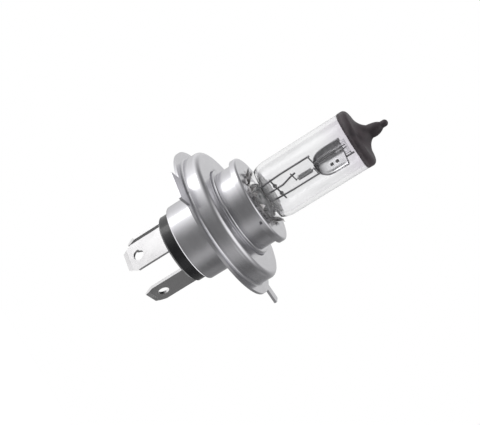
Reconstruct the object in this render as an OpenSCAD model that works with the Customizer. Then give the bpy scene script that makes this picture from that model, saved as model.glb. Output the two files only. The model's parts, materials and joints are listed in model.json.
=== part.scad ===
// Two-filament halogen headlight bulb with a three-lug prefocus ring.
// The origin is the centre of the ring's seating face. +Z runs along the bulb
// towards the glass tip, +Y points to the wide lug and the top contact blade.

/* [Prefocus ring] */
// Diameter of the flat flange
flange_d = 43; // [41:0.5:45]
// Diameter of the raised pilot boss
boss_d = 38; // [37:0.5:39]
// Height of the boss face above the seating face
boss_h = 4.8; // [4:0.1:6]
// Rounding of the boss front edge
boss_round = 1.4; // [1.2:0.1:1.8]
// Thickness of the ring's sheet steel
sheet = 0.7; // [0.6:0.05:0.8]
// Distance of the wide lug's outer edge from the axis
wide_lug_reach = 25; // [24:0.1:26]
// Width of the wide lug
wide_lug_w = 8.6; // [7:0.1:10]
// Distance of the narrow lugs' outer edges from the axis
narrow_lug_reach = 25.8; // [24:0.1:26]
// Width of the narrow lugs
narrow_lug_w = 3.6; // [3:0.1:5]
// Angle from the wide lug to each narrow lug
narrow_lug_angle = 135; // [125:1:145]

/* [Cap] */
// Outer diameter of the rear barrel
barrel_d = 21.9; // [21.6:0.1:22.2]
// Distance of the barrel's rear edge behind the seating face
barrel_back = 10.7; // [10:0.1:12]
// Outer diameter of the foot collar around the neck
collar_d = 25.2; // [25:0.1:25.6]
// Height of the foot collar above the seating face
collar_top = 5.6; // [5.3:0.1:6]
// Outer diameter of the neck sleeve
neck_d = 22.9; // [22.7:0.1:23]
// Outer diameter of the holder disc
disc_d = 24.8; // [24.6:0.1:25.2]
// Height of the holder disc's face above the seating face
disc_top = 12; // [11.6:0.1:12]
// Diameter of the black insulator where it shows
insulator_d = 19.5; // [19:0.1:19.6]
// Distance of the insulator's rear face behind the seating face
insulator_back = 14.2; // [13.8:0.1:15]

/* [Contact blades] */
// Width of each blade
blade_w = 7.9; // [7.5:0.1:8]
// Thickness of each blade
blade_t = 0.8; // [0.7:0.05:0.9]
// Distance of the blade tips behind the seating face
blade_back = 26.4; // [25:0.1:28]
// Distance of the top blade's middle from the axis
top_blade_off = 7.6; // [7.4:0.1:7.8]
// Distance of the side blades' middles from the axis
side_blade_off = 8.1; // [7.9:0.1:8.1]
// Diameter of the latch hole in each blade
latch_hole_d = 3; // [2.6:0.1:3.2]
// Distance of the latch hole from the blade tip
latch_hole_up = 4.05; // [3.8:0.05:4.4]

/* [Glass] */
// Outer diameter of the tube next to the cap
glass_base_d = 15.8; // [15.6:0.1:16]
// Outer diameter of the tube at the coated end
glass_end_d = 15.9; // [15.8:0.1:16.2]
// Thickness of the tube wall
glass_wall = 1.1; // [0.9:0.1:1.3]
// Height where the dark coating starts
coat_start = 40.1; // [39.7:0.1:40.5]
// Thickness of the dark coating
coat_t = 0.08; // [0.06:0.02:0.12]
// Height of the exhaust tip
tip_top = 50.1; // [49.8:0.1:50.6]
// Width of the flat pinch
pinch_w = 11.6; // [11.2:0.1:11.8]
// Thickness of the flat pinch
pinch_t = 4.4; // [4:0.1:4.6]

/* [Filaments] */
// Height where the low-beam coil starts
low_coil_start = 29.5; // [29:0.1:30]
// Length of the low-beam coil
low_coil_len = 5.4; // [5:0.1:5.6]
// Height of the low-beam coil above the axis
low_coil_y = 0.8; // [0.6:0.1:1]
// Height where the high-beam coil starts
high_coil_start = 22.9; // [22.8:0.1:23.2]
// Length of the high-beam coil
high_coil_len = 4.3; // [4:0.1:4.3]
// Height of the high-beam coil relative to the axis
high_coil_y = -1.2; // [-1.4:0.1:-1]
// Outer diameter of both coils
coil_d = 1.4; // [1.2:0.1:1.5]
// Number of turns in each coil
coil_turns = 14; // [10:1:16]
// Diameter of the support wires
wire_d = 0.5; // [0.4:0.02:0.5]

/* [Hidden] */

$fn = 64;
eps = 0.01;
gap = 0.03;

// Prefocus ring
flange_r = flange_d / 2;
boss_r = boss_d / 2;
foot_fillet = 0.45;
collar_r = collar_d / 2;
hole_lip = 0.7;
lug_corner = 0.5;

// Cap
barrel_r = barrel_d / 2;
shell_wall = 0.5;
barrel_round = 0.4;
barrel_top = 2.4;
collar_foot = 3.6;
collar_round = 0.4;
insulator_r = insulator_d / 2;
insulator_flange_r = barrel_r - shell_wall - gap;
insulator_front = -7;
insulator_chamfer = 0.5;
core_recess = 1.2;
core_recess_w = 9.5;
neck_r = neck_d / 2;
neck_wall = 0.5;
neck_foot = collar_foot + shell_wall;
disc_r = disc_d / 2;
disc_t = 0.6;
disc_round = 0.7;
disc_skirt = 1.8;
disc_hole_r = 6.35;
window_w = 4.4;
window_h = 0.9;
cradle_wall = 0.4;
cradle_plate_r = 8.5;
cradle_bottom = 3;

// Star clamp
crown_in_r = 6.5;
crown_out_r = 7.6;
crown_t = 0.25;
crown_tines = 12;
spike_len = 1.9;
spike_w = 2.2;
spike_lift = 24;
grip_len = 2.6;
grip_w = 1.7;
grip_lean = 17;

// Blades
blade_front = -4.6;
tip_chamfer_w = 1.38;
tip_chamfer_h = 2.7;
tip_thin_h = 1.3;
tip_thin_t = 0.4;

// Glass
glass_base_r = glass_base_d / 2;
glass_end_r = glass_end_d / 2;
glass_foot = 12;
glass_foot_r = 5.9;
taper_top = 14.1;
taper_r = 7;
shoulder_top = 17.2;
dome_start = 41.2;
dome_round = 1.2;
pinch_foot = 0.8;
pinch_top = 13.4;
pinch_corner = 1.4;
cavity_foot = 14;
nub_neck_r = 1.8;
nub_neck_z = 44.9;
nub_ball_r = 0.85;

// Wires, leads and foils
row_low_y = 4;
row_common_y = -4;
foil_w = 2.4;
foil_t = 0.1;
foil_foot = 3.2;
foil_top = 8.6;
lead_d = 0.8;
lead_bend_short = 0.65;
clip_d = 0.35;
side_step = (wire_d + clip_d) / 2;
low_wire_y = 4.1;
common_wire_y = -3.95;
bridge_z = 17.2;
bridge_d = 0.45;
bead_d = 1.1;

// Shield
shield_r = 3.2;
shield_wall = 0.25;
shield_y = common_wire_y + wire_d / 2 + shield_r;
shield_back = 28.3;
shield_round_top = 32.8;
shield_front = 37.1;
weld_z = [32.05, 33.65];
weld_r = 0.55;

// Filaments
filament_d = 0.24;
turn_steps = 14;
tube_sides = 6;

// ---------- outlines, curves and other shared shapes ----------

// Half outline of a drum whose upper edge is rounded
module drum_outline(r, h, edge) {
    square([r, h - edge]);
    square([r - edge, h]);
    translate([r - edge, h - edge]) circle(edge);
}

// Points of an arc
function arc(centre, r, from, to, steps = 10) =
    [for (i = [0 : steps])
        let (a = from + (to - from) * i / steps)
        [centre[0] + r * cos(a), centre[1] + r * sin(a)]];

// Points of a smooth curve from a to c that leaves and arrives towards b
function curve(a, b, c, steps = 8) =
    [for (i = [0 : steps])
        let (t = i / steps)
        a * (1 - t) * (1 - t) + b * 2 * t * (1 - t) + c * t * t];

// Straight round rod between two points
module rod(a, b, d) {
    v = b - a;
    translate(a)
        rotate([0, acos(v[2] / norm(v)), atan2(v[1], v[0])])
            cylinder(h = norm(v), d = d);
}

function unit(v) = v / norm(v);

// Round wire through a list of points. Its straight rods stop just short of each
// bend, by a share of the radius, and a slightly fuller ball joins them there
module wire(points, d, short = 0.3) {
    last = len(points) - 1;
    swell = sqrt(1 + short * short) + 0.02;
    for (i = [1 : last])
        let (
            step = unit(points[i] - points[i - 1]) * short * d / 2,
            from = points[i - 1] + (i > 1 ? step : [0, 0, 0]),
            to = points[i] - (i < last ? step : [0, 0, 0])
        )
        rod(from, to, d);
    for (i = [1 : last - 1])
        translate(points[i]) sphere(d = d * swell);
}

// ---------- prefocus ring ----------

module ring_outline() {
    difference() {
        union() {
            translate([0, -sheet]) square([flange_r, sheet]);
            drum_outline(boss_r, boss_h, boss_round);
            difference() {
                translate([boss_r, 0]) square(foot_fillet);
                translate([boss_r + foot_fillet, foot_fillet]) circle(foot_fillet);
            }
        }
        translate([0, -sheet - 1])
            drum_outline(boss_r - sheet, boss_h + 1, boss_round - sheet / 2);
        translate([0, -sheet - 1]) square([collar_r + hole_lip, boss_h + 3]);
    }
    translate([collar_r + hole_lip, boss_h - hole_lip]) circle(hole_lip);
}

module lug(reach, width, angle) {
    rotate([0, 0, angle])
        translate([0, 0, -sheet])
            linear_extrude(sheet)
                union() {
                    translate([-width / 2, boss_r - sheet / 2])
                        square([width, reach - boss_r + sheet / 2 - lug_corner]);
                    translate([-width / 2 + lug_corner, boss_r])
                        square([width - 2 * lug_corner, reach - boss_r]);
                    for (side = [-1, 1])
                        translate([side * (width / 2 - lug_corner), reach - lug_corner])
                            circle(lug_corner);
                }
}

module flange_ring() {
    color("silver") {
        rotate_extrude($fn = 96) ring_outline();
        lug(wide_lug_reach, wide_lug_w, 0);
        for (side = [-1, 1])
            lug(narrow_lug_reach, narrow_lug_w, side * narrow_lug_angle);
    }
}

// ---------- cap ----------

// Barrel wall, its rolled-in rear edge and the flared foot collar
module shell_outline() {
    difference() {
        union() {
            translate([0, barrel_top]) mirror([0, 1])
                drum_outline(barrel_r, barrel_back + barrel_top, barrel_round);
            polygon([
                [0, barrel_top - eps], [barrel_r, barrel_top - eps],
                [collar_r, collar_foot], [0, collar_foot]
            ]);
            translate([0, collar_foot - eps])
                drum_outline(collar_r, collar_top - collar_foot + eps, collar_round);
        }
        translate([0, -barrel_back - 1]) square([insulator_r + gap, barrel_back + 2]);
        translate([0, -barrel_back + shell_wall])
            square([barrel_r - shell_wall, barrel_back + barrel_top]);
        polygon([
            [0, barrel_top - shell_wall], [barrel_r - shell_wall, barrel_top],
            [neck_r - neck_wall, neck_foot], [0, neck_foot]
        ]);
        translate([0, neck_foot - eps]) square([neck_r + gap, collar_top]);
    }
}

module cap_shell() {
    color("silver") rotate_extrude($fn = 96) shell_outline();
}

module neck_sleeve() {
    color("silver")
        translate([0, 0, neck_foot])
            difference() {
                cylinder(h = disc_top - disc_t - neck_foot, r = neck_r, $fn = 96);
                translate([0, 0, -1])
                    cylinder(h = disc_top, r = neck_r - neck_wall, $fn = 96);
            }
}

module holder_disc() {
    skirt_foot = disc_top - disc_skirt;
    color("silver")
        difference() {
            translate([0, 0, skirt_foot])
                rotate_extrude($fn = 96) drum_outline(disc_r, disc_skirt, disc_round);
            translate([0, 0, skirt_foot - 1])
                cylinder(h = disc_skirt - disc_t + 1, r = disc_r - disc_t, $fn = 96);
            translate([0, 0, skirt_foot - 1])
                cylinder(h = disc_skirt + 2, r = disc_hole_r);
            for (turn = [20, 140, 260])
                rotate([0, 0, turn])
                    translate([neck_r, -window_w / 2, skirt_foot - 1])
                        cube([disc_r, window_w, window_h + 1]);
        }
}

// Flat block with rounded corners, standing on its lower face
module pinch_block(w, t, corner, foot, top) {
    translate([0, 0, foot])
        linear_extrude(top - foot)
            union() {
                square([t - 2 * corner, w], center = true);
                square([t, w - 2 * corner], center = true);
                for (x = [-1, 1], y = [-1, 1])
                    translate([x * (t / 2 - corner), y * (w / 2 - corner)]) circle(corner);
            }
}

module pinch_cradle() {
    plate_top = disc_top - disc_t;
    color("gray")
        difference() {
            union() {
                translate([0, 0, plate_top - cradle_wall])
                    cylinder(h = cradle_wall, r = cradle_plate_r);
                pinch_block(
                    pinch_w + 2 * cradle_wall, pinch_t + 2 * cradle_wall,
                    pinch_corner, cradle_bottom, plate_top - eps
                );
            }
            pinch_block(
                pinch_w + 2 * gap, pinch_t + 2 * gap,
                pinch_corner, cradle_bottom - 1, disc_top
            );
        }
}

// Flat triangular tine that starts on the X axis at the origin and points along +X
module tine(len, width) {
    linear_extrude(crown_t)
        polygon([[0, -width / 2], [len, 0], [0, width / 2]]);
}

module star_clamp() {
    color("dimgray")
        translate([0, 0, disc_top]) {
            difference() {
                cylinder(h = crown_t, r = crown_out_r);
                translate([0, 0, -1]) cylinder(h = crown_t + 2, r = crown_in_r);
            }
            for (i = [0 : crown_tines - 1]) {
                rotate([0, 0, 360 * i / crown_tines])
                    translate([crown_out_r - 0.3, 0, 0])
                        rotate([0, -spike_lift, 0]) tine(spike_len + 0.3, spike_w);
                rotate([0, 0, 360 * (i + 0.5) / crown_tines])
                    translate([crown_in_r + crown_t, 0, crown_t / 2])
                        rotate([0, grip_lean - 90, 0]) tine(grip_len, grip_w);
            }
        }
}

module base_insulator() {
    color("#202124")
        difference() {
            union() {
                translate([0, 0, -insulator_back]) {
                    cylinder(
                        h = insulator_chamfer,
                        r1 = insulator_r - insulator_chamfer, r2 = insulator_r
                    );
                    translate([0, 0, insulator_chamfer])
                        cylinder(
                            h = insulator_back - insulator_chamfer + insulator_front - 1,
                            r = insulator_r
                        );
                }
                translate([0, 0, -barrel_back + shell_wall + gap])
                    cylinder(
                        h = barrel_back - shell_wall - gap + insulator_front,
                        r = insulator_flange_r
                    );
            }
            blade_slot() blade_space(top_blade_off, 90);
            blade_slot() blade_space(side_blade_off, 0);
            blade_slot() blade_space(side_blade_off, 180);
            translate([-core_recess_w / 2, -core_recess_w / 2, -insulator_back - 1])
                cube([core_recess_w, core_recess_w, core_recess + 1]);
        }
}

// ---------- contact blades ----------

module blade_slot() {
    translate([0, 0, -insulator_back - 1]) children();
}

// Straight channel that one blade runs through
module blade_space(offset_r, angle) {
    rotate([0, 0, angle])
        translate([offset_r - blade_t / 2 - gap, -blade_w / 2 - gap, 0])
            cube([blade_t + 2 * gap, blade_w + 2 * gap, insulator_back]);
}

// Blade on the +X side: outline seen from the side, thinned tip and latch hole
module blade() {
    half_w = blade_w / 2;
    half_t = blade_t / 2;
    difference() {
        intersection() {
            rotate([90, 0, 90])
                translate([0, 0, -blade_t])
                    linear_extrude(2 * blade_t)
                        polygon([
                            [half_w, blade_front], [half_w, tip_chamfer_h - blade_back],
                            [half_w - tip_chamfer_w, -blade_back],
                            [tip_chamfer_w - half_w, -blade_back],
                            [-half_w, tip_chamfer_h - blade_back], [-half_w, blade_front]
                        ]);
            rotate([90, 0, 0])
                translate([0, 0, -blade_w])
                    linear_extrude(2 * blade_w)
                        polygon([
                            [half_t, blade_front + 1], [half_t, tip_thin_h - blade_back],
                            [tip_thin_t / 2, -blade_back], [-tip_thin_t / 2, -blade_back],
                            [-half_t, tip_thin_h - blade_back], [-half_t, blade_front + 1]
                        ]);
        }
        translate([0, 0, latch_hole_up - blade_back])
            rotate([0, 90, 0])
                cylinder(h = 3 * blade_t, d = latch_hole_d, center = true);
    }
}

module contact_blade(offset_r, angle) {
    color("gainsboro")
        rotate([0, 0, angle]) translate([offset_r, 0, 0]) blade();
}

module contact_blade_top() {
    contact_blade(top_blade_off, 90);
}

module contact_blade_left() {
    contact_blade(side_blade_off, 0);
}

module contact_blade_right() {
    contact_blade(side_blade_off, 180);
}

// ---------- glass ----------

// Outside of the dome and the exhaust tip, grown by a skin thickness
function dome_points(skin) =
    let (
        r = glass_end_r + skin,
        top = dome_start + dome_round + skin,
        ball_z = tip_top - nub_ball_r
    )
    concat(
        arc([r - dome_round, dome_start], dome_round, 0, 70, 6),
        curve(
            [r - 1.4, top], [2.9 + skin, top + 0.4],
            [nub_neck_r + skin, nub_neck_z], 10
        ),
        curve(
            [nub_neck_r + skin, nub_neck_z + 0.3], [nub_neck_r + skin, nub_neck_z + 2.2],
            [nub_ball_r + skin, ball_z - 0.9], 8
        ),
        arc([0, ball_z - skin], nub_ball_r + skin, -10, 90, 6)
    );

function tube_r(z) =
    glass_base_r
    + (glass_end_r - glass_base_r) * (z - shoulder_top) / (dome_start - shoulder_top);

module envelope_outline() {
    polygon(concat(
        [[0, glass_foot], [glass_foot_r, glass_foot]],
        curve([taper_r, taper_top], [glass_base_r - 0.15, taper_top + 1.5],
            [glass_base_r, shoulder_top], 6),
        dome_points(0)
    ));
}

// Hollow inside of the glass
module cavity_outline() {
    roof = dome_start + dome_round - glass_wall;
    polygon([
        [0, cavity_foot], [3.6, cavity_foot], [5.8, cavity_foot + 1],
        [glass_base_r - glass_wall, shoulder_top],
        [glass_end_r - glass_wall, dome_start - 0.6],
        [glass_end_r - glass_wall - 1, roof], [2.2, roof + 0.5], [0.8, roof + 1.6], [0, roof + 1.6]
    ]);
}

module glass_envelope() {
    color("#dfe6ea", 0.35)
        difference() {
            union() {
                rotate_extrude($fn = 96) envelope_outline();
                pinch_block(pinch_w, pinch_t, pinch_corner, pinch_foot, pinch_top);
            }
            rotate_extrude($fn = 96) cavity_outline();
            for (y = [row_low_y, 0, row_common_y]) {
                translate([0, y, foil_foot - lead_room()])
                    cylinder(h = lead_room() + eps, d = lead_d + 2 * gap);
                translate([-foil_t / 2 - gap, y - foil_w / 2 - gap, foil_foot - gap])
                    cube([foil_t + 2 * gap, foil_w + 2 * gap, foil_top - foil_foot + 2 * gap]);
            }
            wire(low_wire_path(), wire_d + 2 * gap);
            wire(high_wire_path(), wire_d + 2 * gap);
            wire(common_wire_path(), wire_d + 2 * gap);
        }
}

function lead_room() = foil_foot - pinch_foot + 1;

module tip_coating() {
    color("#3a3438")
        difference() {
            rotate_extrude($fn = 96)
                polygon(concat(
                    [[0, coat_start], [tube_r(coat_start) + coat_t, coat_start]],
                    dome_points(coat_t)
                ));
            rotate_extrude($fn = 96)
                polygon(concat(
                    [[0, coat_start - 1], [tube_r(coat_start - 1) + eps, coat_start - 1]],
                    dome_points(eps)
                ));
        }
}

// ---------- foils and leads in the pinch and the cap ----------

module seal_foil(y) {
    color("lightgray")
        translate([-foil_t / 2, y - foil_w / 2, foil_foot])
            cube([foil_t, foil_w, foil_top - foil_foot]);
}

module seal_foil_low() {
    seal_foil(row_low_y);
}

module seal_foil_high() {
    seal_foil(0);
}

module seal_foil_common() {
    seal_foil(row_common_y);
}

// Distance of a lead's middle from the axis where it lies against a blade
function lead_off(blade_off) = blade_off - (blade_t + lead_d) / 2;

module lead_wire(path) {
    color("darkgray") wire(path, lead_d, lead_bend_short);
}

module lead_wire_low() {
    lead_wire([
        [0, row_low_y, foil_foot], [0, row_low_y, 0],
        [0, lead_off(top_blade_off), blade_front + 0.6],
        [0, lead_off(top_blade_off), insulator_front + 0.2]
    ]);
}

module lead_wire_high() {
    lead_wire([
        [0, 0, foil_foot], [0, 0, 0],
        [lead_off(side_blade_off), 0, blade_front + 0.6],
        [lead_off(side_blade_off), 0, insulator_front + 0.2]
    ]);
}

module lead_wire_common() {
    lead_wire([
        [0, row_common_y, foil_foot], [0, row_common_y, 0],
        [-lead_off(side_blade_off), -1.5, blade_front + 0.6],
        [-lead_off(side_blade_off), -1.5, insulator_front + 0.2]
    ]);
}

// Weld bead that wraps a lead's end against the face of its blade
module blade_weld(x, y, angle) {
    translate([x, y, -5.8])
        rotate([0, 0, angle])
            difference() {
                translate([-lead_d / 2, -0.9, -0.6]) cube([lead_d, 1.8, 1.2]);
                cylinder(h = 3, d = lead_d + 2 * gap, center = true);
            }
}

module blade_welds() {
    color("gray") {
        blade_weld(0, lead_off(top_blade_off), 90);
        blade_weld(lead_off(side_blade_off), 0, 0);
        blade_weld(-lead_off(side_blade_off), -1.5, 180);
    }
}

// ---------- support wires ----------

function low_wire_path() = [
    [0, row_low_y, foil_top], [0, row_low_y, 12],
    [side_step, low_wire_y, 20], [side_step, low_wire_y, 29]
];

function high_wire_path() = [
    [0, 0, foil_top], [0, 0, 18.9], [side_step, 0.8, 22], [side_step, 1.1, 23.2]
];

function common_wire_path() = [
    [0, row_common_y, foil_top], [0, row_common_y, 12],
    [-side_step, common_wire_y, 20], [-side_step, common_wire_y, 39.2]
];

module low_beam_wire() {
    color("slategray") wire(low_wire_path(), wire_d);
}

module high_beam_wire() {
    color("slategray") wire(high_wire_path(), wire_d);
}

module common_wire() {
    color("slategray") wire(common_wire_path(), wire_d);
}

// The bar lies against the near side of all three wires
bridge_step = (wire_d + bridge_d) / 2 + gap;
bridge_lean = 0.07;

function bridge_at(y) = [bridge_lean * y - bridge_step, y, bridge_z];

module wire_bridge() {
    color("slategray") rod(bridge_at(5.2), bridge_at(-4.9), bridge_d);
}

module bridge_beads() {
    color("lightslategray")
        for (y = [2, -2])
            difference() {
                translate(bridge_at(y)) sphere(d = bead_d, $fn = 24);
                rod(bridge_at(5.2), bridge_at(-4.9), bridge_d + 2 * gap);
            }
}

// ---------- glare shield ----------

// Half outline of the shield's spoon shape, at a depth inside its outer skin
function spoon_points(depth) =
    let (
        half = shield_r - depth,
        reach = shield_round_top - shield_back - depth
    )
    [for (i = [0 : 12])
        let (a = 90 * i / 12)
        [half * sin(a), shield_round_top - reach * cos(a)]];

module spoon_outline() {
    difference() {
        polygon(concat(spoon_points(0), [[shield_r, shield_front], [0, shield_front]]));
        polygon(concat(
            spoon_points(shield_wall),
            [[shield_r - shield_wall, shield_front - shield_wall],
             [0, shield_front - shield_wall]]
        ));
    }
}

module glare_shield() {
    color("darkgray")
        translate([0, shield_y, 0])
            rotate([0, 0, 180])
                rotate_extrude(angle = 180, $fn = 64) spoon_outline();
}

module shield_welds() {
    color("gray")
        intersection() {
            for (z = weld_z)
                translate([-side_step, shield_y - shield_r + 0.1, z]) sphere(r = weld_r, $fn = 24);
            translate([0, shield_y, shield_round_top - 2])
                cylinder(h = 4, r = shield_r - shield_wall - eps);
        }
}

// ---------- filaments ----------

// Middle line of a coil with a straight leg at each end, along +Z
function coil_line(len, r, leg_in, leg_out) =
    let (
        half_turn = turn_steps / 2,
        steps = coil_turns * turn_steps
    )
    concat(
        [[0, 0, -leg_in, 0], [0, 0, -0.25, 0]],
        [for (i = [0 : steps])
            let (
                a = 360 * i / turn_steps,
                grow = min(1, i / half_turn, (steps - i) / half_turn)
            )
            [r * grow * cos(a), r * grow * sin(a), len * i / steps, a]],
        [[0, 0, len + 0.25, 0], [0, 0, len + leg_out, 0]]
    );

function xyz(p) = [p[0], p[1], p[2]];

// Ring of points around the middle line at index i
function tube_ring(line, i, r) =
    let (
        before = xyz(line[max(i - 1, 0)]),
        after = xyz(line[min(i + 1, len(line) - 1)]),
        along = unit(after - before),
        out = [cos(line[i][3]), sin(line[i][3]), 0],
        side = unit(out - along * (out * along)),
        up = cross(along, side)
    )
    [for (j = [0 : tube_sides - 1])
        let (a = 360 * j / tube_sides)
        xyz(line[i]) + (side * cos(a) + up * sin(a)) * r];

module coil(len, leg_in, leg_out) {
    line = coil_line(len, (coil_d - filament_d) / 2, leg_in, leg_out);
    rings = len(line);
    points = [for (i = [0 : rings - 1]) each tube_ring(line, i, filament_d / 2)];
    walls = [
        for (i = [0 : rings - 2], j = [0 : tube_sides - 1])
            let (
                k = (j + 1) % tube_sides,
                low = i * tube_sides,
                high = (i + 1) * tube_sides
            )
            each [[low + j, high + j, high + k], [low + j, high + k, low + k]]
    ];
    foot = [[for (j = [0 : tube_sides - 1]) j]];
    head = [[for (j = [tube_sides - 1 : -1 : 0]) (rings - 1) * tube_sides + j]];
    polyhedron(points, concat(walls, foot, head));
}

low_clip_z = low_coil_start - 0.9;
front_strip_z = 37.9;
strip_t = 0.2;
strip_w = 1.1;
high_clip_z = high_coil_start - 0.6;
high_front_clip_z = high_coil_start + high_coil_len + 0.55;

module low_beam_filament() {
    color("dimgray")
        translate([0, low_coil_y, low_coil_start])
            coil(
                low_coil_len, low_coil_start - low_clip_z - clip_d / 2,
                front_strip_z - low_coil_start - low_coil_len
            );
}

module high_beam_filament() {
    color("dimgray")
        translate([0, high_coil_y, high_coil_start])
            coil(
                high_coil_len, high_coil_start - high_clip_z - clip_d / 2,
                high_front_clip_z - clip_d / 2 - high_coil_start - high_coil_len
            );
}

// Straight clip wire that crosses a support wire and holds a filament leg
module clip(from_y, to_y, z) {
    color("slategray") rod([0, from_y, z], [0, to_y, z], clip_d);
}

module low_beam_rear_clip() {
    clip(low_wire_y + 0.7, low_coil_y - 0.4, low_clip_z);
}

module high_beam_rear_clip() {
    clip(2.4, high_coil_y - 0.4, high_clip_z);
}

module high_beam_front_clip() {
    clip(high_coil_y + 0.3, common_wire_y - 1.1, high_front_clip_z);
}

// Flat strip from the common wire's end up to the low-beam filament's front leg
module low_beam_front_strip() {
    strip_foot = common_wire_y - 0.4;
    strip_top = low_coil_y + 1.4;
    strip_x = -side_step + wire_d / 2;
    color("lightslategray")
        translate([strip_x, strip_foot, front_strip_z])
            cube([strip_t, strip_top - strip_foot, strip_w]);
}

flange_ring();
cap_shell();
neck_sleeve();
holder_disc();
pinch_cradle();
star_clamp();
base_insulator();
contact_blade_top();
contact_blade_left();
contact_blade_right();
glass_envelope();
tip_coating();
seal_foil_low();
seal_foil_high();
seal_foil_common();
lead_wire_low();
lead_wire_high();
lead_wire_common();
blade_welds();
low_beam_wire();
high_beam_wire();
common_wire();
wire_bridge();
bridge_beads();
glare_shield();
shield_welds();
low_beam_filament();
high_beam_filament();
low_beam_rear_clip();
low_beam_front_strip();
high_beam_rear_clip();
high_beam_front_clip();
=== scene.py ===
"""Looks of a two-filament headlight bulb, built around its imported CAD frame.

Everything is in metres in the frame's own axes: +Z runs to the glass tip, +Y to the wide lug.
"""
import json
import math
import random

import bmesh
import bpy
from mathutils import Matrix, Vector


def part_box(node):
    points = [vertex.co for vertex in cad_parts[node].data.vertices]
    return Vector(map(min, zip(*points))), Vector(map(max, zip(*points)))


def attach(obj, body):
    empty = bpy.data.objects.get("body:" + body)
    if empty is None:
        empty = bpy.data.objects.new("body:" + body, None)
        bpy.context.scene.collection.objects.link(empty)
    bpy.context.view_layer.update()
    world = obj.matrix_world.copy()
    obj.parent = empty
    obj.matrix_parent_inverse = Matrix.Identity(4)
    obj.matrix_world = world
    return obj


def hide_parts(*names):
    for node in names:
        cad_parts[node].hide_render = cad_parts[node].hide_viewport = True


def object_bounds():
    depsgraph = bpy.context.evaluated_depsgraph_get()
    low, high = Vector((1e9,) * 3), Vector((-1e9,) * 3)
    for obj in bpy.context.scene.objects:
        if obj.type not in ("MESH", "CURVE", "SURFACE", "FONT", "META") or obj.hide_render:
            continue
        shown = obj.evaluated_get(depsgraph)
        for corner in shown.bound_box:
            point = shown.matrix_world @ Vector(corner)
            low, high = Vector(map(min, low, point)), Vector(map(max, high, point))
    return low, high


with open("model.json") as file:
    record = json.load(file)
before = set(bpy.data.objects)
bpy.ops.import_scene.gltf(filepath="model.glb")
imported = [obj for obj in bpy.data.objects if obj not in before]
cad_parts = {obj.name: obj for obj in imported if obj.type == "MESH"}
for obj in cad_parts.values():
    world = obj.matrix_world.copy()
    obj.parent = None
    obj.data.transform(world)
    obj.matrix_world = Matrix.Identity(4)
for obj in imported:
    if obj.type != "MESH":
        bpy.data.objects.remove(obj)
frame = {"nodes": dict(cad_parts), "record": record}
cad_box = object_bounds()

MM = 0.001
NODES = frame["nodes"]
scene = bpy.context.scene


# ---------- camera ----------

VIEW_TARGET = Vector((0.4, -1.0, 4.9)) * MM
VIEW_AZIMUTH = math.radians(213.5)
VIEW_ELEVATION = math.radians(12.77)
VIEW_ROLL = math.radians(58.1)
VIEW_DISTANCE = 310.7 * MM
LENS_MM = 88.94
SENSOR_MM = 36


def view_axes():
    """Right, up and backward directions of the camera."""
    flat = Vector((math.sin(VIEW_AZIMUTH), -math.cos(VIEW_AZIMUTH), 0))
    back = flat * math.cos(VIEW_ELEVATION) + Vector((0, 0, math.sin(VIEW_ELEVATION)))
    level = Vector((0, 0, 1)).cross(back).normalized()
    upright = back.cross(level)
    right = level * math.cos(VIEW_ROLL) + upright * math.sin(VIEW_ROLL)
    up = upright * math.cos(VIEW_ROLL) - level * math.sin(VIEW_ROLL)
    return right, up, back


RIGHT, UP, BACK = view_axes()


def add_camera():
    data = bpy.data.cameras.new("camera")
    data.lens = LENS_MM
    data.sensor_width = SENSOR_MM
    data.clip_start = 10 * MM
    camera = bpy.data.objects.new("camera", data)
    turn = Matrix((RIGHT, UP, BACK)).transposed().to_4x4()
    camera.matrix_world = Matrix.Translation(VIEW_TARGET + BACK * VIEW_DISTANCE) @ turn
    scene.collection.objects.link(camera)
    scene.camera = camera


# ---------- studio ----------

def math_node(tree, kind, a, b=0.0):
    """Output of a math node; each input is a number or another node's socket."""
    node = tree.nodes.new("ShaderNodeMath")
    node.operation = kind
    for i, value in enumerate((a, b)):
        if isinstance(value, (int, float)):
            node.inputs[i].default_value = value
        else:
            tree.links.new(value, node.inputs[i])
    return node.outputs[0]


def in_view(right, up, back):
    """Unit vector from its parts along the camera's own axes."""
    return (RIGHT * right + UP * up + BACK * back).normalized()


# Soft glows of the studio: direction in camera axes, how tight it is, how bright it is
GLOWS = (
    ((0.24, 0.28, -0.93), 5, 0.66),
    ((-0.66, 0.74, 0.10), 4, 1.35),
    ((-0.25, 0.66, -0.71), 10, 0.50),
    ((0.90, 0.20, 0.32), 6, 1.40),
    ((0.29, -0.73, 0.62), 14, 0.50),
    ((0.55, -0.69, -0.47), 18, 0.20),
    ((-0.37, -0.23, 0.90), 4, 0.06),
)
ROOM_LEVEL = 0.14


def soft_box(name, direction, distance, size, power):
    """Square area light that shines on the bulb."""
    data = bpy.data.lights.new(name, "AREA")
    data.shape = "SQUARE"
    data.size = size
    data.energy = power
    light = bpy.data.objects.new(name, data)
    light.location = VIEW_TARGET + direction * distance
    light.rotation_euler = direction.to_track_quat("Z", "Y").to_euler()
    scene.collection.objects.link(light)


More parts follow.
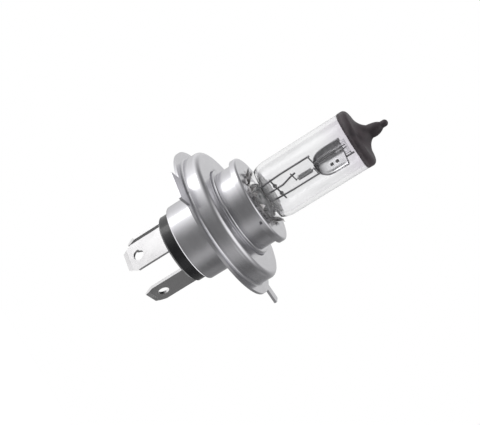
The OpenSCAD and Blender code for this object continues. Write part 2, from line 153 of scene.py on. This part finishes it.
def add_world():
    """White where it is seen directly or through the glass, soft glows where it lights the bulb."""
    world = bpy.data.worlds.new("studio")
    world.use_nodes = True
    tree = world.node_tree
    nodes, links = tree.nodes, tree.links
    nodes.clear()
    toward = nodes.new("ShaderNodeTexCoord").outputs["Generated"]

    level = ROOM_LEVEL
    for direction, tightness, brightness in GLOWS:
        dot = nodes.new("ShaderNodeVectorMath")
        dot.operation = "DOT_PRODUCT"
        links.new(toward, dot.inputs[0])
        dot.inputs[1].default_value = in_view(*direction)
        facing = math_node(tree, "MAXIMUM", dot.outputs["Value"], 0.0)
        glow = math_node(tree, "MULTIPLY", math_node(tree, "POWER", facing, tightness), brightness)
        level = math_node(tree, "ADD", glow, level)
    room = nodes.new("ShaderNodeBackground")
    links.new(level, room.inputs["Strength"])
    white = nodes.new("ShaderNodeBackground")
    path = nodes.new("ShaderNodeLightPath")
    bounces = math_node(tree, "ADD", path.outputs["Diffuse Depth"], path.outputs["Glossy Depth"])
    direct = math_node(tree, "LESS_THAN", bounces, 0.5)
    # One or two crossings of the glass: a ray that was reflected inside the tube's wall
    crossings = path.outputs["Transmission Depth"]
    in_wall = math_node(tree, "MULTIPLY", math_node(tree, "GREATER_THAN", crossings, 0.5),
                        math_node(tree, "LESS_THAN", crossings, 3.0))
    seen = math_node(tree, "MAXIMUM", direct, in_wall)
    mix = nodes.new("ShaderNodeMixShader")
    links.new(seen, mix.inputs["Fac"])
    links.new(room.outputs[0], mix.inputs[1])
    links.new(white.outputs[0], mix.inputs[2])
    room.inputs["Color"].default_value = (1, 1, 1, 1)
    white.inputs["Color"].default_value = (1, 1, 1, 1)
    white.inputs["Strength"].default_value = 1.0
    out = nodes.new("ShaderNodeOutputWorld")
    links.new(mix.outputs[0], out.inputs["Surface"])
    scene.world = world
    scene.view_settings.view_transform = "Standard"


FLOOR_RADIUS = 345 * MM
FLOOR_DROP = 200 * MM
FLOOR_GLOW = 0.92


def add_floor():
    """Round white table top well below the blade tips, lit from inside so that it casts no grey."""
    mesh = bpy.data.meshes.new("floor")
    disc = bmesh.new()
    bmesh.ops.create_circle(disc, cap_ends=True, segments=96, radius=FLOOR_RADIUS)
    disc.to_mesh(mesh)
    disc.free()
    floor = bpy.data.objects.new("floor", mesh)
    floor.location.z = cad_box[0][2] - FLOOR_DROP
    scene.collection.objects.link(floor)
    paint = Shader("floor_paint")
    paint.set(Roughness=0.9, Emission_Color=(1, 1, 1, 1), Emission_Strength=FLOOR_GLOW)
    paint.link("Base Color", paint.blend(paint.noise(30), (0.88, 0.88, 0.88), (0.92, 0.92, 0.92)))
    mesh.materials.append(paint.material)


# ---------- materials ----------

class Shader:
    """A Principled material with short calls for the procedural nodes that feed it."""

    def __init__(self, name):
        self.material = bpy.data.materials.new(name)
        self.material.use_nodes = True
        self.tree = self.material.node_tree
        self.nodes, self.links = self.tree.nodes, self.tree.links
        self.bsdf = self.nodes["Principled BSDF"]
        self.place = self.nodes.new("ShaderNodeTexCoord").outputs["Object"]

    def set(self, **values):
        for name, value in values.items():
            self.bsdf.inputs[name.replace("_", " ")].default_value = value

    def link(self, name, socket):
        self.links.new(socket, self.bsdf.inputs[name])

    def math(self, kind, a, b=0.0):
        return math_node(self.tree, kind, a, b)

    def place_parts(self):
        split = self.nodes.new("ShaderNodeSeparateXYZ")
        self.links.new(self.place, split.inputs[0])
        return split.outputs

    def stretched(self, x, y, z):
        node = self.nodes.new("ShaderNodeMapping")
        node.inputs["Scale"].default_value = (x, y, z)
        self.links.new(self.place, node.inputs["Vector"])
        return node.outputs[0]

    def around(self, turn_scale, radius_scale, height_scale):
        """Coordinates that follow the bulb's axis: turn, distance from the axis, height."""
        x, y, z = self.place_parts()
        turn = self.math("ARCTAN2", y, x)
        radius = self.math("SQRT", self.math("ADD", self.math("POWER", x, 2), self.math("POWER", y, 2)))
        join = self.nodes.new("ShaderNodeCombineXYZ")
        for i, (value, scale) in enumerate(
                ((turn, turn_scale), (radius, radius_scale), (z, height_scale))):
            self.links.new(self.math("MULTIPLY", value, scale), join.inputs[i])
        return join.outputs[0]

    def height(self):
        return self.place_parts()["Z"]

    def noise(self, scale, detail=4, vector=None, rough=0.55):
        node = self.nodes.new("ShaderNodeTexNoise")
        node.inputs["Scale"].default_value = scale
        node.inputs["Detail"].default_value = detail
        node.inputs["Roughness"].default_value = rough
        self.links.new(vector or self.place, node.inputs["Vector"])
        return node.outputs["Fac"]

    def ramp(self, value, low, high, at=0.35, until=0.65):
        node = self.nodes.new("ShaderNodeMapRange")
        node.inputs["From Min"].default_value = at
        node.inputs["From Max"].default_value = until
        node.inputs["To Min"].default_value = low
        node.inputs["To Max"].default_value = high
        self.links.new(value, node.inputs["Value"])
        return node.outputs["Result"]

    def blend(self, factor, first, second):
        node = self.nodes.new("ShaderNodeMix")
        node.data_type = "RGBA"
        self.links.new(factor, node.inputs["Factor"])
        for socket, value in ((node.inputs[6], first), (node.inputs[7], second)):
            if isinstance(value, tuple):
                socket.default_value = (*value, 1)
            else:
                self.links.new(value, socket)
        return node.outputs[2]

    def bump(self, height, depth, strength=1.0, under=None):
        node = self.nodes.new("ShaderNodeBump")
        node.inputs["Distance"].default_value = depth
        node.inputs["Strength"].default_value = strength
        self.links.new(height, node.inputs["Height"])
        if under is not None:
            self.links.new(under, node.inputs["Normal"])
        return node.outputs["Normal"]


def metal(name, dark, light, rough_low, rough_high, grain, grain_depth):
    """Bare metal: blotchy tone, uneven gloss and a fine grain that follows the given coordinates."""
    paint = Shader(name)
    paint.set(Metallic=1.0)
    cloud = paint.noise(170, 3)
    fine = paint.noise(1, 2, grain(paint))
    paint.link("Base Color", paint.blend(paint.ramp(cloud, 0, 1), dark, light))
    both = paint.math("ADD", paint.math("MULTIPLY", cloud, 0.5), paint.math("MULTIPLY", fine, 0.5))
    paint.link("Roughness", paint.ramp(both, rough_low, rough_high))
    paint.link("Normal", paint.bump(fine, grain_depth))
    return paint.material


def satin_steel():
    return metal("satin_steel", (0.60, 0.595, 0.62), (0.66, 0.655, 0.68), 0.18, 0.25,
                 lambda p: p.around(1.5, 1900, 1900), 0.0003 * MM)


def clip_steel():
    return metal("clip_steel", (0.52, 0.51, 0.51), (0.70, 0.69, 0.69), 0.12, 0.28,
                 lambda p: p.stretched(3000, 3000, 3000), 0.003 * MM)


def blade_steel():
    return metal("blade_steel", (0.48, 0.475, 0.48), (0.55, 0.545, 0.55), 0.16, 0.26,
                 lambda p: p.stretched(9000, 9000, 300), 0.003 * MM)


def black_ceramic():
    paint = Shader("black_ceramic")
    paint.set(IOR=1.55)
    cloud = paint.noise(500, 4)
    paint.link("Base Color", paint.blend(cloud, (0.006, 0.006, 0.007), (0.014, 0.014, 0.016)))
    paint.link("Roughness", paint.ramp(cloud, 0.16, 0.30))
    paint.link("Normal", paint.bump(paint.noise(2500, 2), 0.006 * MM))
    return paint.material


def quartz_glass():
    """Clear quartz with painted highlight bands along the tube, lighter than the rest, and a faint
    grey-purple tint that grows towards the coat.
    """
    paint = Shader("quartz_glass")
    paint.set(IOR=1.458, Transmission_Weight=1.0)
    height = paint.height()
    # Glass turns greyer and purplish from 33 mm up to 42 mm, towards the coat
    coat_end_tint = paint.ramp(height, 0, 1, 33 * MM, 42 * MM)
    # Lighter bands round the tube, running along its length: painted highlight bands
    highlight_bands = paint.ramp(paint.noise(1, 2, paint.around(2.2, 0, 60)), 0, 1)
    clear = paint.blend(highlight_bands, (0.87, 0.87, 0.875), (0.945, 0.945, 0.95))
    paint.link("Base Color", paint.blend(coat_end_tint, clear, (0.80, 0.775, 0.815)))
    paint.link("Roughness", paint.ramp(paint.noise(150, 2), 0.0, 0.015))
    paint.link("Normal", paint.bump(paint.noise(60, 1), 0.004 * MM, 0.3))
    return paint.material


def pinch_glass():
    """Grey crinkled glass where the tube was melted shut round the leads, painted dark in the crinkles'
    hollows and light on their ridges: painted shade and painted highlight.
    """
    paint = Shader("pinch_glass")
    paint.set(IOR=1.46)
    crinkle_and_shade = paint.noise(1, 4, paint.stretched(1700, 330, 1400))
    cloud = paint.noise(420, 3)
    # Colour follows the crinkle's height: painted shade in the hollows, painted highlight on the ridges
    paint.link("Base Color", paint.blend(
        paint.ramp(crinkle_and_shade, 0, 1), (0.30, 0.30, 0.31), (0.92, 0.92, 0.93)))
    paint.link("Roughness", paint.ramp(cloud, 0.12, 0.35))
    paint.link("Normal", paint.bump(crinkle_and_shade, 0.16 * MM))
    return paint.material


def dark_coat():
    paint = Shader("dark_coat")
    cloud = paint.noise(420, 5)
    paint.link("Base Color", paint.blend(
        paint.ramp(cloud, 0, 1), (0.035, 0.028, 0.033), (0.075, 0.058, 0.066)))
    paint.link("Roughness", paint.ramp(cloud, 0.45, 0.62))
    paint.link("Normal", paint.bump(paint.noise(2600, 3), 0.012 * MM))
    return paint.material


def foil():
    return metal("foil", (0.45, 0.44, 0.46), (0.60, 0.59, 0.60), 0.25, 0.4,
                 lambda p: p.stretched(6000, 6000, 600), 0.004 * MM)


def wire_metal():
    return metal("wire_metal", (0.16, 0.16, 0.17), (0.30, 0.30, 0.31), 0.3, 0.45,
                 lambda p: p.stretched(5000, 5000, 500), 0.004 * MM)


def weld_metal():
    return metal("weld_metal", (0.14, 0.13, 0.13), (0.33, 0.32, 0.32), 0.35, 0.6,
                 lambda p: p.stretched(3000, 3000, 3000), 0.01 * MM)


def bead_glass():
    paint = Shader("bead_glass")
    paint.set(IOR=1.5)
    cloud = paint.noise(900, 4)
    paint.link("Base Color", paint.blend(cloud, (0.20, 0.20, 0.21), (0.45, 0.45, 0.46)))
    paint.link("Roughness", paint.ramp(cloud, 0.1, 0.3))
    return paint.material


def shield_metal():
    return metal("shield_metal", (0.55, 0.55, 0.56), (0.78, 0.78, 0.79), 0.10, 0.22,
                 lambda p: p.stretched(1500, 1500, 900), 0.0015 * MM)


def tungsten():
    return metal("tungsten", (0.30, 0.30, 0.31), (0.45, 0.45, 0.46), 0.3, 0.5,
                 lambda p: p.stretched(6000, 6000, 6000), 0.004 * MM)


MATERIALS = {
    make.__name__: make()
    for make in (satin_steel, clip_steel, blade_steel, black_ceramic, quartz_glass, pinch_glass,
                 dark_coat, foil, wire_metal, weld_metal, bead_glass, shield_metal, tungsten)
}


def dress_cad_nodes():
    """Every CAD node gets the detailed material of its own slot."""
    for part in frame["record"]["subparts"]:
        slots = NODES[part["node"]].data.materials
        slots.clear()
        slots.append(MATERIALS[part["material_slot"]])


# ---------- pieces ----------

def add_piece(name, shape, slot, material=None, replaced=(), hollow=(), smooth=True):
    """Finish a bmesh as a piece of the bulb; the faces of a closed hollow look inwards."""
    bmesh.ops.recalc_face_normals(shape, faces=shape.faces[:])
    bmesh.ops.reverse_faces(shape, faces=list(hollow))
    mesh = bpy.data.meshes.new(name)
    shape.to_mesh(mesh)
    shape.free()
    for face in mesh.polygons:
        face.use_smooth = smooth
    mesh.materials.append(MATERIALS[material or slot])
    piece = bpy.data.objects.new(name, mesh)
    scene.collection.objects.link(piece)
    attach(piece, "root")
    if replaced:
        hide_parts(*replaced)


def stretch_between(shape, rings, closed=False):
    """Skin a row of rings of vertices; a ring of one vertex closes to a point."""
    pairs = list(zip(rings, rings[1:] + (rings[:1] if closed else [])))
    for low, high in pairs[:len(rings) if closed else None]:
        count = max(len(low), len(high))
        for i in range(count):
            k = (i + 1) % count
            corners = [low[i % len(low)], low[k % len(low)], high[k % len(high)], high[i % len(high)]]
            face = list(dict.fromkeys(corners))
            if len(face) > 2:
                shape.faces.new(face)


# The glass, in millimetres: (radius, height) outlines with the sizes of the CAD part
GLASS_STEPS = 256
TUBE_FOOT_R = 7.9
TUBE_END_R = 7.95
TUBE_WALL = 1.1
SHOULDER_Z = 17.2
DOME_Z = 41.2
DOME_ROUND = 1.2
NUB_R = 1.8
NUB_FOOT_Z = 44.9
NUB_BALL_R = 0.85
COAT_Z = 40.1
COAT_SKIN = 0.08
COAT_WAVE = 0.05
LEAN = Vector((-0.26, -0.17, 0.0))
LEAN_FROM = 43.6
LEAN_UNTIL = 46.5
TIP_Z = cad_box[1][2] / MM


def arc(radius, height, size, start, end, steps):
    for i in range(steps + 1):
        a = math.radians(start + (end - start) * i / steps)
        yield radius + size * math.cos(a), height + size * math.sin(a)


def curve(first, pull, last, steps):
    """Points from first to last that leave and arrive towards pull."""
    for i in range(steps + 1):
        t = i / steps
        yield tuple(
            a * (1 - t) ** 2 + b * 2 * t * (1 - t) + c * t ** 2 for a, b, c in zip(first, pull, last))


def dome_outline(skin):
    r = TUBE_END_R + skin
    top = DOME_Z + DOME_ROUND + skin
    ball_z = TIP_Z - NUB_BALL_R - COAT_SKIN
    return [
        *arc(r - DOME_ROUND - skin, DOME_Z, DOME_ROUND + skin, 0, 72, 12),
        *curve((r - 1.35 - skin, top), (2.9 + skin, top + 0.4), (NUB_R + skin, NUB_FOOT_Z), 24),
        *curve((NUB_R + skin, NUB_FOOT_Z + 0.3), (NUB_R + skin, NUB_FOOT_Z + 2.2),
               (NUB_BALL_R + skin, ball_z - 0.9), 14),
        *arc(0, ball_z, NUB_BALL_R + skin, -8, 86, 12),
        (0, ball_z + NUB_BALL_R + skin),
    ]


def glass_outline():
    return [
        (0, 12), (5.6, 12), (5.9, 12.2),
        *curve((7.0, 14.1), (TUBE_FOOT_R - 0.15, 15.6), (TUBE_FOOT_R, SHOULDER_Z), 14),
        *dome_outline(0),
    ]


def cavity_outline():
    inside = TUBE_FOOT_R - TUBE_WALL
    roof = DOME_Z + DOME_ROUND - TUBE_WALL
    return [
        (0, 15.2),
        *curve((1.0, 15.2), (4.4, 15.0), (5.7, 14.6), 8),
        *curve((5.9, 14.7), (inside - 0.1, 15.4), (inside, SHOULDER_Z + 0.4), 10),
        *curve((inside + 0.05, DOME_Z - 2.5), (inside + 0.05, roof), (inside - 1.6, roof + 0.1), 12),
        *curve((inside - 1.8, roof + 0.12), (2.2, roof + 0.4), (0.8, roof + 1.6), 10),
        (0, roof + 1.9),
    ]


def spin(shape, outline, wave=0.0):
    """Skin of an outline turned round the axis, which leans a little at the tip."""
    rings = []
    for radius, height in outline:
        share = min(max((height - LEAN_FROM) / (LEAN_UNTIL - LEAN_FROM), 0), 1)
        middle = LEAN * share * share * (3 - 2 * share) + Vector((0, 0, height))
        if radius == 0:
            rings.append([shape.verts.new(middle * MM)])
            continue
        ring = []
        for i in range(GLASS_STEPS):
            a = math.tau * i / GLASS_STEPS
            ripple = wave * (math.sin(3 * a) + 0.6 * math.sin(7 * a + 1) + 0.4 * math.sin(17 * a))
            side = Vector((math.cos(a) * radius, math.sin(a) * radius, ripple))
            ring.append(shape.verts.new((middle + side) * MM))
        wave = 0.0  # only the first ring, the coat's edge, is wavy
        rings.append(ring)
    stretch_between(shape, rings)
    return rings


def add_glass():
    """Clear tube with its hollow inside, and the dark coat over its end."""
    tube = bmesh.new()
    spin(tube, glass_outline())
    outside = set(tube.faces)
    spin(tube, cavity_outline())
    hollow = [face for face in tube.faces if face not in outside]
    add_piece("glass_tube", tube, "quartz_glass", replaced=("glass_envelope",), hollow=hollow)

    coat = bmesh.new()
    outer = [(TUBE_END_R + COAT_SKIN - 0.03, COAT_Z), *dome_outline(COAT_SKIN)]
    inner = [(TUBE_END_R + 0.01, COAT_Z + 0.1), *dome_outline(0.01)]
    rim_out = spin(coat, outer, COAT_WAVE)[0]
    rim_in = spin(coat, inner, COAT_WAVE)[0]
    stretch_between(coat, [rim_in, rim_out])
    add_piece("glass_coat", coat, "dark_coat", replaced=("tip_coating",))


# The pinch, in millimetres
PINCH_FOOT = 12.05
PINCH_TOP = 15.2
PINCH_LENGTH = 5.5
PINCH_THICK = 2.3
PINCH_STEPS = 96
PINCH_ROWS = 14


def squarer(value, power):
    """A sine or cosine drawn out, so that the round it belongs to becomes boxy."""
    return math.copysign(abs(value) ** power, value)


def add_pinch():
    """Flat, crinkled top of the pinch, where the tube was melted shut over the row of leads."""
    chance = random.Random(11)
    pinch = bmesh.new()
    rings = [[pinch.verts.new(Vector((0, 0, PINCH_FOOT)) * MM)]]
    for row in range(PINCH_ROWS + 1):
        rise = row / PINCH_ROWS
        shrink = (1 - rise ** 3) ** 0.5 if row < PINCH_ROWS else 0.12
        ring = []
        for i in range(PINCH_STEPS):
            a = math.tau * i / PINCH_STEPS
            x = squarer(math.cos(a), 0.7) * PINCH_THICK * (0.35 + 0.65 * shrink)
            y = squarer(math.sin(a), 0.8) * PINCH_LENGTH * (0.25 + 0.75 * shrink)
            crown = 1 - 0.3 * (y / PINCH_LENGTH) ** 2
            z = PINCH_FOOT + (PINCH_TOP - PINCH_FOOT) * rise * crown
            dents = [chance.uniform(-0.05, 0.05) for _ in range(3)]
            ring.append(pinch.verts.new((Vector((x, y, z)) + Vector(dents)) * MM))
        rings.append(ring)
    rings.append([pinch.verts.new(Vector((0, 0, PINCH_TOP)) * MM)])
    stretch_between(pinch, rings)
    add_piece("pinch_top", pinch, "quartz_glass", "pinch_glass")


# The star clamp, in millimetres
CLAMP_Z = 12.0
CLAMP_IN_R = 6.45
CLAMP_OUT_R = 7.5
CLAMP_T = 0.22
CLAMP_STEPS = 64
SPIKES = 12
GRIPS = 19


def add_tine(shape, turn, radius, height, length, width, lift, twist, bend):
    """Pointed strip that starts on the clamp's ring and is bent and twisted its own way."""
    round_axis = Matrix.Rotation(turn, 3, "Z")
    turned = round_axis @ Matrix.Rotation(-lift, 3, "Y") @ Matrix.Rotation(twist, 3, "X")
    start = round_axis @ Vector((radius, 0, 0)) + Vector((0, 0, height))
    thick = CLAMP_T / 2
    rows = []
    for share in (0.0, 0.35, 0.7, 1.0):
        half = width * 0.5 * (1 - share) ** 0.85 + 0.04
        rise = bend * length * share * share
        row = []
        for y, z in ((-half, -thick), (half, -thick), (half, thick), (-half, thick)):
            corner = Vector((length * share, y, z * (1 - 0.5 * share) + rise))
            row.append(shape.verts.new((start + turned @ corner) * MM))
        rows.append(row)
    stretch_between(shape, rows)
    shape.faces.new(rows[0])
    shape.faces.new(rows[-1])


def add_star_clamp():
    """Spring-steel crown round the foot of the glass, with uneven spikes and grips."""
    chance = random.Random(5)
    crown = bmesh.new()
    outline = [(CLAMP_IN_R, CLAMP_Z), (CLAMP_OUT_R, CLAMP_Z),
               (CLAMP_OUT_R, CLAMP_Z + CLAMP_T), (CLAMP_IN_R, CLAMP_Z + CLAMP_T)]
    rings = []
    for radius, height in outline:
        turns = [math.tau * i / CLAMP_STEPS for i in range(CLAMP_STEPS)]
        rings.append([
            crown.verts.new(Vector((radius * math.cos(a), radius * math.sin(a), height)) * MM)
            for a in turns])
    stretch_between(crown, rings, closed=True)
    middle = CLAMP_Z + CLAMP_T / 2

    def angle(low, high):
        return math.radians(chance.uniform(low, high))

    for i in range(SPIKES):
        turn = math.tau * (i + chance.uniform(-0.3, 0.3)) / SPIKES
        long_one = chance.random() < 0.2
        length = chance.uniform(2.0, 2.8) if long_one else chance.uniform(0.7, 1.5)
        add_tine(crown, turn, CLAMP_OUT_R - 0.2, middle, length, width=chance.uniform(1.0, 1.9),
                 lift=angle(8, 30), twist=angle(-40, 40), bend=chance.uniform(-0.1, 0.1))
    for i in range(GRIPS):
        turn = math.tau * (i + chance.uniform(-0.35, 0.35)) / GRIPS
        length = chance.uniform(0.9, 2.2)
        add_tine(crown, turn, CLAMP_IN_R + 0.25, middle, length, width=chance.uniform(1.2, 2.3),
                 lift=angle(35, 70), twist=angle(-45, 45), bend=chance.uniform(-0.05, 0.05))
    add_piece("spring_crown", crown, "clip_steel", replaced=("star_clamp",), smooth=False)


# The glare shield, in millimetres: a scoop with a high far wall, a flat floor and a low near rim
SHIELD_FRONT = 37.1
SHIELD_NEAR_FRONT = 36.0
SHIELD_ROUND_FROM = 33.0
SHIELD_BACK = 27.95
SHIELD_POLE = Vector((0.1, -1.4))
SHIELD_WALL = 0.2
SHIELD_NOSE = 2.5
SHIELD_ROWS = 34


def shield_section():
    """Points across the scoop, from the high rim over the floor to the low rim."""
    for i in range(7):
        yield Vector((3.45 - 0.01 * i, 0.0 - 0.28 * i))
    for point in list(curve((3.38, -1.9), (3.3, -3.55), (1.9, -3.6), 12))[1:]:
        yield Vector(point)
    for i in range(1, 10):
        yield Vector((1.9 - 0.47 * i, -3.6))
    for point in list(curve((-2.33, -3.6), (-3.4, -3.6), (-3.6, -2.9), 9))[1:]:
        yield Vector(point)


def fix_order(shape):
    """Sort by place, because some mesh operators leave their results in no fixed order."""
    slant = Vector((1.0, 0.618, 0.271))
    shape.verts.sort(key=lambda vert: vert.co.dot(slant))
    shape.faces.sort(key=lambda face: face.calc_center_median().dot(slant))


def add_shield():
    """Pressed scoop under the low-beam filament."""
    scoop = bmesh.new()
    section = list(shield_section())
    rows = []
    for row in range(SHIELD_ROWS + 1):
        share = (row / SHIELD_ROWS) ** 1.6
        line = []
        for i, point in enumerate(section):
            front = SHIELD_FRONT + (SHIELD_NEAR_FRONT - SHIELD_FRONT) * i / (len(section) - 1)
            z = SHIELD_BACK + (front - SHIELD_BACK) * share
            back = max(SHIELD_ROUND_FROM - z, 0) / (SHIELD_ROUND_FROM - SHIELD_BACK)
            width = max(1 - back ** SHIELD_NOSE, 0.0) ** (1 / SHIELD_NOSE)
            flat = SHIELD_POLE + (point - SHIELD_POLE) * width
            line.append(scoop.verts.new(Vector((flat.x, flat.y, z)) * MM))
        rows.append(line)
    for low, high in zip(rows, rows[1:]):
        for i in range(len(section) - 1):
            scoop.faces.new([low[i], low[i + 1], high[i + 1], high[i]])
    bmesh.ops.remove_doubles(scoop, verts=scoop.verts[:], dist=0.004 * MM)
    bmesh.ops.recalc_face_normals(scoop, faces=scoop.faces[:])
    bmesh.ops.solidify(scoop, geom=scoop.faces[:], thickness=SHIELD_WALL * MM)
    fix_order(scoop)
    add_piece("shield_scoop", scoop, "shield_metal", replaced=("glare_shield",))


# The bent tab in front of the shield, in millimetres
TAB_T = 0.3
TAB_HALF = 2.1
TAB_PROFILE = ((37.0, -0.05), (37.5, 0.0), (38.0, 0.02), (38.5, 0.0))
TAB_CORNERS = ((-1, 1), (0, 1), (1, 1), (1, -1), (0, -1), (-1, -1))
TAB_SLOPE = 0.03
POST_X = -0.45
POST_R = 0.22


def add_front_tab():
    """Flat tab that holds the filament's end, on a post from the common wire."""
    tab = bmesh.new()
    rows = []
    for z, y in TAB_PROFILE:
        ring = []
        for across, side in TAB_CORNERS:
            x = across * TAB_HALF
            ring.append(tab.verts.new(Vector((x, y + TAB_SLOPE * x + side * TAB_T / 2, z)) * MM))
        rows.append(ring)
    stretch_between(tab, rows)
    tab.faces.new(rows[0])
    tab.faces.new(rows[-1])
    post = [Vector((POST_X, -3.6, 38.0)), Vector((POST_X, -2.2, 37.9)),
            Vector((POST_X + 0.1, -0.1, 38.0))]
    sweep(tab, post, POST_R, sides=12)
    add_piece("front_tab", tab, "shield_metal", replaced=("low_beam_front_strip",), smooth=False)


# The filaments, in millimetres; each coil has its start height and its length
COIL_R = 0.58
COIL_TURNS = 14
COIL_WIRE_R = 0.12
COIL_RUN_IN = 0.25
LOW_COIL = (29.5, 5.4)
HIGH_COIL = (22.9, 4.3)
TURN_STEPS = 24
WIRE_SIDES = 10


def coil_path(foot, length, leg_in, leg_out):
    """Middle line of a coil along +Z with a straight leg at each end."""
    steps = COIL_TURNS * TURN_STEPS
    path = [foot - Vector((0, 0, leg_in)), foot - Vector((0, 0, COIL_RUN_IN))]
    for i in range(steps + 1):
        grow = min(1, i / (TURN_STEPS / 2), (steps - i) / (TURN_STEPS / 2))
        a = math.tau * i / TURN_STEPS
        turn = Vector((COIL_R * grow * math.cos(a), COIL_R * grow * math.sin(a), length * i / steps))
        path.append(foot + turn)
    end = foot + Vector((0, 0, length))
    return path + [end + Vector((0, 0, COIL_RUN_IN)), end + Vector((0, 0, leg_out))]


def sweep(shape, path, radius, sides):
    """Round wire along a line of points."""
    side = None
    rings = []
    for i, point in enumerate(path):
        along = (path[min(i + 1, len(path) - 1)] - path[max(i - 1, 0)]).normalized()
        side = along.orthogonal() if side is None else side - along * side.dot(along)
        side.normalize()
        up = along.cross(side)
        rings.append([
            shape.verts.new((point + (side * math.cos(a) + up * math.sin(a)) * radius) * MM)
            for a in (math.tau * k / sides for k in range(sides))])
    stretch_between(shape, rings)
    shape.faces.new(rings[0])
    shape.faces.new(rings[-1])


def add_filament(name, node, start, length):
    """Coil whose legs reach both ends of its CAD node."""
    low, high = (Vector(corner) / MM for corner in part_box(node))
    middle = (low + high) / 2
    coil = bmesh.new()
    path = coil_path(Vector((0, middle.y, start)), length, start - low.z, high.z - start - length)
    sweep(coil, path, COIL_WIRE_R, WIRE_SIDES)
    add_piece(name, coil, "tungsten", replaced=(node,))


add_camera()
add_world()
add_floor()
soft_box("key", in_view(-0.72, 0.69, 0.1), distance=0.6, size=0.25, power=0.3)
dress_cad_nodes()
add_glass()
add_pinch()
add_star_clamp()
add_shield()
add_front_tab()
add_filament("low_beam_coil", "low_beam_filament", *LOW_COIL)
add_filament("high_beam_coil", "high_beam_filament", *HIGH_COIL)
